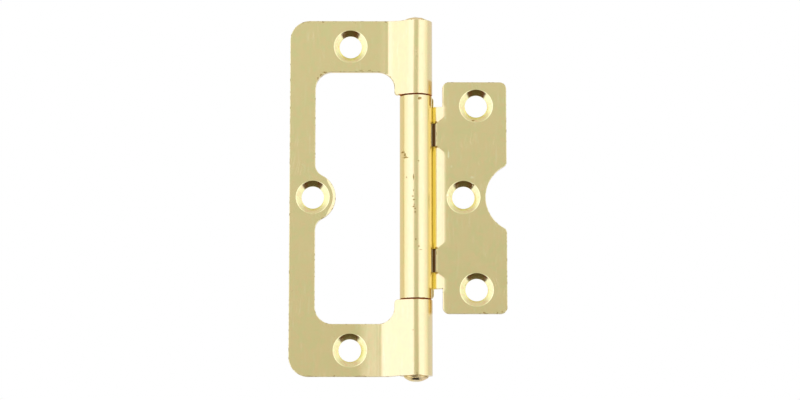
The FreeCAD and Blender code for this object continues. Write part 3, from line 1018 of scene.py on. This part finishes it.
@dataclass(frozen=True)
class HingePin:
    """The pin: a plain shank with a head riveted over, and dented, at each end."""

    finish: PlatedBrass
    knuckle_end: float
    head_radius: float
    head_height: float
    head_corner: float = 0.8 * MM
    shank_radius: float = 2.9 * MM
    skirt: float = 0.6 * MM
    rings: int = 12
    corner_rings: int = 6
    sides: int = 72
    hammer_depth: float = 0.22 * MM
    hammer_scale: float = 520.0
    hammer_edge: Span = (0.25, 0.75)
    hammer_start: Span = (0.25, 0.9)
    seed: int = 7

    def outline(self) -> list[Span]:
        """The radius and the height along a head, from its skirt to just short of its crown."""
        across = self.head_radius - self.head_corner
        fall = self.head_height - self.head_corner
        dome = (across**2 + self.head_height**2 - self.head_corner**2) / (2 * fall)
        centre = self.head_height - dome
        turn = math.asin(across / (dome - self.head_corner))
        outline = [(self.shank_radius, -self.skirt), (self.shank_radius, 0.0)]
        for step in range(self.corner_rings):
            angle = math.pi / 2 - (math.pi / 2 - turn) * step / self.corner_rings
            radius = across + self.head_corner * math.sin(angle)
            outline.append((radius, self.head_corner * math.cos(angle)))
        for step in range(self.rings, 0, -1):
            angle = turn * step / self.rings
            outline.append((dome * math.sin(angle), centre + dome * math.cos(angle)))
        return outline

    def head_mesh(self) -> bpy.types.Mesh:
        """One head, standing on the knuckle's end, with a skirt that runs into the bore.

        Returns:
            The closed mesh, with its foot at z 0.
        """
        work = bmesh.new()
        turns = [2 * math.pi * side / self.sides for side in range(self.sides)]
        loops = [
            [
                work.verts.new((radius * math.cos(turn), radius * math.sin(turn), height))
                for turn in turns
            ]
            for radius, height in self.outline()
        ]
        for lower, upper in zip(loops, loops[1:]):
            for side in range(self.sides):
                after = (side + 1) % self.sides
                work.faces.new((lower[side], lower[after], upper[after], upper[side]))
        crown = work.verts.new((0.0, 0.0, self.head_height))
        for side in range(self.sides):
            work.faces.new((loops[-1][side], loops[-1][(side + 1) % self.sides], crown))
        work.faces.new(list(reversed(loops[0])))
        mesh = bpy.data.meshes.new("riveted_head")
        work.to_mesh(mesh)
        work.free()
        return mesh

    def tree(self) -> bpy.types.NodeTree:
        """Build the tree that sets a hammered head on each end of a shank.

        Returns:
            The tree, whose inputs are the pin's sizes.
        """
        inputs = {"Head": "Object", "Seed": "Int", "Finish": "Material"}
        sizes = ("Knuckle End", "Shank Radius", "Hammer Depth", "Hammer Scale")
        tree = start_tree("riveted_pin", inputs | dict.fromkeys(sizes, "Float"), "Pin")
        given = tree.add("NodeGroupInput").outputs
        end = Value(tree, given["Knuckle End"])
        top = tree.add("ShaderNodeCombineXYZ", None, {"Z": end})
        bottom = tree.add("ShaderNodeCombineXYZ", None, {"Z": end * -1.0})
        ends = tree.add(
            "GeometryNodeMeshLine",
            {"mode": "END_POINTS", "count_mode": "TOTAL"},
            {"Count": 2, "Start Location": top.outputs[0], "Offset": bottom.outputs[0]},
        )
        index = Value(tree, tree.add("GeometryNodeInputIndex").outputs[0])
        over = tree.add("ShaderNodeCombineXYZ", None, {"X": index * math.pi})
        head = tree.add("GeometryNodeObjectInfo", None, {"Object": given["Head"]})
        inputs = {
            "Points": ends.outputs[0],
            "Instance": head.outputs["Geometry"],
            "Rotation": over.outputs[0],
        }
        heads = tree.add("GeometryNodeInstanceOnPoints", None, inputs)
        real = tree.add("GeometryNodeRealizeInstances", None, {"Geometry": heads.outputs[0]})

        place = tree.add("GeometryNodeInputPosition").outputs[0]
        blows = tree.add(
            "ShaderNodeTexNoise",
            {"noise_dimensions": "4D"},
            {"Vector": place, "W": given["Seed"], "Scale": given["Hammer Scale"], "Detail": 0.0},
        )
        z = tree.parts(place)[2]
        proud = (abs(z) - end).ramp(*self.hammer_start)
        sink = Value(tree, blows.outputs["Fac"]).step(*self.hammer_edge) * proud
        sink = sink * Value(tree, given["Hammer Depth"]) * -1.0
        normal = tree.add("GeometryNodeInputNormal").outputs[0]
        inputs = {"Vector": normal, "Scale": sink}
        move = tree.add("ShaderNodeVectorMath", {"operation": "SCALE"}, inputs)
        inputs = {"Geometry": real.outputs[0], "Offset": move.outputs[0]}
        hammered = tree.add("GeometryNodeSetPosition", None, inputs)
        inputs = {"Vertices": self.sides, "Radius": given["Shank Radius"], "Depth": end * 2.0}
        shank = tree.add("GeometryNodeMeshCylinder", None, inputs)
        joined = tree.add("GeometryNodeJoinGeometry")
        tree.nodes.links.new(shank.outputs["Mesh"], joined.inputs[0])
        tree.nodes.links.new(hammered.outputs[0], joined.inputs[0])
        tree.finish(joined.outputs[0], given["Finish"])
        return tree.nodes

    def build(self) -> Piece:
        """Make the pin and let it stand for its node.

        Returns:
            The pin.
        """
        head = link("riveted_head", self.head_mesh())
        pin = link("hinge_pin_plated", bpy.data.meshes.new("hinge_pin_plated"))
        chosen = {
            "Head": head,
            "Knuckle End": self.knuckle_end,
            "Shank Radius": self.shank_radius,
            "Hammer Depth": self.hammer_depth,
            "Hammer Scale": self.hammer_scale,
            "Seed": self.seed,
            "Finish": self.finish.material(),
        }
        run_tree(pin, self.tree(), chosen)
        bpy.data.objects.remove(head)
        for face in pin.data.polygons:
            face.use_smooth = True
        keep_flats_flat(pin)
        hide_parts("hinge_pin")
        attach(pin, Body.OUTER.value)
        LOG.info("%s: %d faces", pin.name, len(pin.data.polygons))
        return pin


@dataclass(frozen=True)
class Glow:
    """A part of the studio's walls with a light of its own.

    Each edge is a pair of angles in degrees, between which it fades. Azimuths grow to the right
    of the camera's side, and elevations grow upwards.
    """

    left: Span
    right: Span
    colour: Triple
    bottom: Span = (-50.0, -49.0)
    top: Span = (22.0, 62.0)

    def cover(self, azimuth: Value, elevation: Value) -> Value:
        """How far a direction lies in this part.

        Args:
            azimuth: Degrees to the right of the camera's side.
            elevation: Degrees above the horizon.

        Returns:
            1 inside and 0 outside, with soft edges.
        """
        sides = azimuth.step(*self.left) * azimuth.step(*reversed(self.right))
        return sides * elevation.step(*self.bottom) * elevation.step(*reversed(self.top))


@dataclass(frozen=True)
class Camera:
    """The camera: far off, a little below the middle, and looking slightly up."""

    focal_length: float = 104.188
    sensor_width: float = 36.0
    nearest: float = 0.01
    place: Triple = (-11.66 * MM, -639.14 * MM, -89.85 * MM)
    rise: float = 7.939
    turn: float = -0.643

    def stand(self) -> None:
        """Stand the camera in the scene, and look through it."""
        lens = bpy.data.cameras.new("camera")
        lens.lens = self.focal_length
        lens.sensor_width = self.sensor_width
        lens.clip_start = self.nearest
        camera = bpy.data.objects.new("camera", lens)
        camera.location = self.place
        camera.rotation_euler = (math.radians(90.0 + self.rise), 0.0, math.radians(self.turn))
        bpy.context.scene.collection.objects.link(camera)
        bpy.context.scene.camera = camera


@dataclass(frozen=True)
class Studio:
    """The floor, the light and the camera.

    Each edge of the light is a pair of angles in degrees, between which one colour gives way to
    the next. The ground glows only where it lies in front of the hinge.
    """

    camera: Camera
    floor_height: float = -150.0 * MM
    floor_reach: float = 3.0
    low_wall: Triple = (0.640, 0.620, 0.525)
    high_wall: Triple = (0.700, 0.710, 0.610)
    wall_edge: Span = (2.0, 14.0)
    right_shade: float = 0.06
    shade_edge: Span = (0.8, 2.2)
    back_left: Triple = (0.80, 0.73, 0.58)
    back_right: Triple = (0.78, 0.75, 0.76)
    back_edge: Span = (70.0, 100.0)
    ceiling: Triple = (0.745, 0.65, 0.60)
    ceiling_edge: Span = (30.0, 66.0)
    ground: Triple = (0.095, 0.070, 0.030)
    ground_edge: Triple = (0.110, 0.046, 0.018)
    ground_start: Span = (-36.0, -42.0)
    ground_front: Span = (-0.16, -0.26)
    ground_depth: Span = (-50.0, -62.0)
    glows: tuple[Glow, ...] = (
        Glow((-98.0, -88.0), (-26.0, -11.0), (1.10, 1.12, 1.08)),
        Glow((-88.0, -42.0), (-26.0, -11.0), (1.30, 1.27, 1.50)),
        Glow((9.5, 25.5), (80.0, 96.0), (0.98, 0.97, 0.92)),
        Glow((9.5, 25.5), (42.0, 84.0), (1.28, 1.26, 1.40)),
    )

    def lay_floor(self) -> None:
        """Lay the plain pale floor, below the camera."""
        mesh = bpy.data.meshes.new("studio_floor")
        reach = self.floor_reach
        corners = [(-reach, -reach), (reach, -reach), (reach, reach), (-reach, reach)]
        mesh.from_pydata([(x, y, self.floor_height) for x, y in corners], [], [(0, 1, 2, 3)])
        mesh.materials.append(PalePlain().material())
        floor = link("studio_floor", mesh)
        floor.visible_glossy = False

    def walls(self, tree: Tree) -> Socket:
        """Mix the colour of the studio in each direction.

        Args:
            tree: The world's tree.

        Returns:
            The colour.
        """
        x, y, z = tree.parts(tree.add("ShaderNodeTexCoord").outputs["Generated"])
        azimuth = x.arctangent(y * -1.0) * math.degrees(1.0)
        elevation = z.arcsine() * math.degrees(1.0)
        start, end = self.back_edge
        colour = tree.mix(elevation.step(*self.wall_edge), self.low_wall, self.high_wall)
        shade = azimuth.step(*self.shade_edge) * self.right_shade
        colour = tree.mix(shade, colour, (0.0, 0.0, 0.0))
        colour = tree.mix(azimuth.step(-start, -end), colour, self.back_left)
        colour = tree.mix(azimuth.step(start, end), colour, self.back_right)
        colour = tree.mix(elevation.step(*self.ceiling_edge), colour, self.ceiling)
        for glow in self.glows:
            colour = tree.mix(glow.cover(azimuth, elevation), colour, glow.colour)
        below = elevation.step(*self.ground_start) * y.step(*self.ground_front)
        depth = elevation.step(*self.ground_depth)
        return tree.mix(below, colour, tree.mix(depth, self.ground_edge, self.ground))

    def light(self) -> None:
        """Light the hinge from the studio's walls, which the camera sees as white."""
        world = bpy.data.worlds.new("studio")
        bpy.context.scene.world = world
        world.use_nodes = True
        world.node_tree.nodes.clear()
        tree = Tree(world.node_tree)
        inputs = {"Color": self.walls(tree), "Strength": 1.0}
        room = tree.add("ShaderNodeBackground", None, inputs)
        inputs = {"Color": (1.0, 1.0, 1.0, 1.0), "Strength": 1.0}
        white = tree.add("ShaderNodeBackground", None, inputs)
        seen = tree.add("ShaderNodeLightPath").outputs["Is Camera Ray"]
        inputs = {0: seen, 1: room.outputs[0], 2: white.outputs[0]}
        both = tree.add("ShaderNodeMixShader", None, inputs)
        tree.add("ShaderNodeOutputWorld", None, {"Surface": both.outputs[0]})

    def build(self) -> None:
        """Set the whole studio up."""
        self.lay_floor()
        self.light()
        self.camera.stand()
        bpy.context.scene.view_settings.view_transform = "Standard"
        LOG.info("studio: %d glows", len(self.glows))


# Painted shade and bounced light: the knuckle ends inside the gaps take a reddish brown.
KNUCKLE_GAP_SHADE = Patch((-4.7, -4.7, 28.42), (4.7, 4.7, 28.80), (0.85, 0.44, 0.13), 0.6)


def outer_leaf() -> DressedLeaf:
    """The left leaf, whose two knuckles hold the pin's ends."""
    places = ((-18.35, 42.7), (-28.8, 0.0), (-18.35, -42.7))
    marks = (
        Mark(-31.84, 49.5, 0.45, 0.3, 0.7),
        Mark(-30.4, 49.7, 0.8, 0.2, 0.35),
        Mark(-26.16, 49.7, 0.4, 0.3, 0.7),
        Mark(-17.02, 49.5, 0.35, 0.25, 0.35),
        Mark(-8.44, 49.7, 0.45, 0.25, 0.6),
        Mark(0.07, 40.4, 0.3, 0.16, 0.45),
        Mark(0.07, 39.2, 0.35, 0.14, 0.35),
        # These three paint the shadow line at the lower knuckle's end, above the pin's head.
        Mark(0.15, -49.35, 0.32, 0.75, 0.45),
        Mark(-0.8, -49.85, 1.4, 0.2, 1.0),
        Mark(0.45, -49.65, 0.9, 0.16, 0.6),
        Mark(-25.5, 35.25, 0.7, 0.3, 0.8),
        Mark(-26.6, 34.4, 0.5, 0.45, 0.7),
        Mark(-27.45, 33.2, 0.3, 0.9, 0.7),
        Mark(-15.4, 35.8, 0.6, 0.25, 0.5),
        Mark(-13.0, 35.8, 0.7, 0.25, 0.5),
        Mark(-22.6, -49.85, 0.5, 0.25, 0.8),
        Mark(-15.1, -49.98, 1.6, 0.3, 1.0),
        Mark(-29.5, -49.98, 1.6, 0.3, 0.8),
        Mark(-35.2, -33.7, 0.3, 0.5, 0.6),
        Mark(-35.2, -35.6, 0.3, 0.45, 0.6),
    )
    reliefs = (
        Bow(-16.5, -9.9, bottom=-51.0, top=-28.7, slope=0.14, ease=1.5, fade=1.3),
        Bow(-10.2, -8.0, bottom=28.7, top=51.0, slope=0.10, ease=0.5, fade=0.8),
        DieRoll(-29.2, 0.0, inner=6.0, outer=6.8, slope=0.24),
    )
    # Painted shadow: a brown patch on the outer knuckles' flank beside the gaps.
    knuckle_foot_shadow = Patch((3.75, -4.6, 28.6), (4.7, 0.3, 32.2), (0.74, 0.52, 0.16), 0.2, fade=0.9)
    finish = PlatedBrass(
        name="outer_leaf_brass",
        seat_places=places,
        marks=marks,
        reliefs=reliefs,
        patches=(knuckle_foot_shadow, KNUCKLE_GAP_SHADE),
    )
    return DressedLeaf("outer_leaf", Body.OUTER, ScrewSeats(places), finish)


def inner_leaf_patches() -> tuple[Patch, ...]:
    """Painted shade and bounce on the knuckle, crease, gap and slots, and brown slot ends."""
    # Painted bounced light: a more golden tone on the knuckle's flank beside the neck.
    knuckle_side = Patch((3.2, -4.6, 0.0), (4.6, 0.3, 28.5), (0.93, 0.77, 0.33), 0.17, fade=0.3)
    # Painted shadow: a dark brown patch on the knuckle's flank near each end.
    knuckle_end = Patch((3.65, -3.0, 25.6), (4.15, -1.8, 28.6), (0.55, 0.36, 0.09), 0.2, fade=0.15)
    # Painted bounced light: a saturated gold in the crease, which also has a rougher finish.
    crease = Patch((4.40, -0.6, 0.0), (5.55, 1.0, 28.5), (1.0, 0.85, 0.27), 0.42, fade=0.12)
    # Painted shade: dark brown in the slots, where the sheet behind lies in shade.
    slot = Patch((4.53, -0.74, 14.5), (5.42, 1.5, 20.9), (0.24, 0.12, 0.02), 0.6)
    slot_foot, slot_head = (
        Patch((5.3, -1.0, foot), (5.9, 0.8, foot + 0.5), (0.50, 0.34, 0.09), 0.3, fade=0.12)
        for foot in (13.95, 20.95)
    )
    return knuckle_side, knuckle_end, crease, KNUCKLE_GAP_SHADE, slot, slot_foot, slot_head


def inner_leaf() -> DressedLeaf:
    """The right leaf, whose one knuckle turns between the other two."""
    places = ((16.8, 25.85), (13.2, 0.0), (16.8, -25.85))
    marks = (
        Mark(-3.7, 12.3, 0.57, 0.28, 0.85),
        Mark(-3.2, 11.5, 0.42, 0.6, 0.8),
        Mark(-2.95, 10.75, 0.84, 0.32, 0.85),
        Mark(-2.72, 5.11, 0.19, 0.34, 0.56),
        Mark(-0.77, 5.1, 0.22, 0.94, 0.8),
        Mark(-0.74, 1.38, 0.16, 0.3, 0.66),
        Mark(-1.0, -0.26, 0.41, 0.22, 0.66),
        Mark(-0.65, -1.22, 0.41, 0.19, 0.8),
        Mark(-0.61, -2.62, 0.16, 0.41, 0.8),
        Mark(-0.75, -3.15, 0.47, 0.22, 0.8),
        Mark(-0.36, -3.71, 0.27, 0.27, 0.8),
        Mark(-0.31, -4.66, 0.27, 0.3, 0.8),
        Mark(-0.15, -12.24, 0.22, 0.38, 0.75),
        Mark(0.51, 9.62, 0.3, 0.19, 0.8),
        Mark(0.62, -14.1, 0.3, 0.41, 0.56),
        Mark(1.15, -15.14, 0.61, 0.16, 0.56),
        Mark(0.92, 27.3, 0.68, 0.47, 0.8),
        Mark(16.0, 21.75, 0.45, 0.25, 0.8),
        Mark(18.8, -32.25, 0.5, 0.25, 0.72),
        Mark(22.4, -32.25, 0.3, 0.25, 0.64),
        Mark(23.8, -32.05, 0.3, 0.25, 0.64),
        Mark(15.99, 3.43, 0.41, 0.27, 0.8),
    )
    # Painted highlights: pale spots on the plate and a bright line beside a slot.
    glints = (
        Mark(9.05, 11.95, 0.28, 1.2, 1.0),
        Mark(8.74, 0.6, 0.35, 0.35, 0.8),
        Mark(9.9, 8.6, 0.25, 0.3, 0.7),
        Mark(8.2, 22.4, 0.25, 0.3, 0.6),
        Mark(15.6, 5.6, 0.6, 0.4, 0.6),
    )
    reliefs = (
        Lip(5.5, 6.05, 14.3, 21.1, slope=0.13, fade=0.4, ease=0.05, start=4.9),
        Lip(5.5, 6.05, -21.1, -14.3, slope=0.13, fade=0.4, ease=0.05, start=4.9),
        Lip(7.4, 9.4, -14.1, 14.1, slope=0.06, fade=2.5),
        Lip(7.4, 9.0, 20.8, 27.0, slope=0.068, fade=1.8),
        Lip(7.4, 9.0, -27.0, -20.8, slope=0.068, fade=1.8),
    )
    finish = PlatedBrass(
        name="inner_leaf_brass",
        seat_places=places,
        marks=marks,
        glints=glints,
        reliefs=reliefs,
        patches=inner_leaf_patches(),
    )
    return DressedLeaf("inner_leaf", Body.INNER, ScrewSeats(places), finish)


def hinge_pin() -> HingePin:
    """The pin, with painted shade for the punch dent and the gap at its lower end."""
    pin_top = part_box("hinge_pin")[1]
    head_height = 1.55 * MM
    # Painted shade: a dark spot for the punch dent, and the shadow line where the head meets the
    # knuckle.
    marks = (
        Mark(-0.1, -50.64, 1.55, 0.36, 1.0),
        Mark(-0.75, -50.02, 0.95, 0.16, 0.6),
        Mark(2.65, -50.1, 0.8, 0.2, 0.55),
        Mark(-2.7, -50.08, 0.3, 0.16, 0.4),
    )
    finish = PlatedBrass(
        name="pin_brass",
        roughness=0.24,
        colour=(0.90, 0.69, 0.35),
        rub_and_shade_colour=(0.04, 0.024, 0.005),
        marks=marks,
        patches=(KNUCKLE_GAP_SHADE,),
    )
    return HingePin(
        finish=finish,
        knuckle_end=pin_top[2] - head_height,
        head_radius=pin_top[0],
        head_height=head_height,
    )


def main() -> None:
    """Build the hinge and its studio, and log the size of each once built."""
    logging.basicConfig(level=logging.INFO, format="%(name)s %(message)s")
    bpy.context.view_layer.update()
    for piece in (outer_leaf(), inner_leaf(), hinge_pin()):
        piece.build()
    Studio(camera=Camera()).build()


if __name__ == "__main__":
    main()
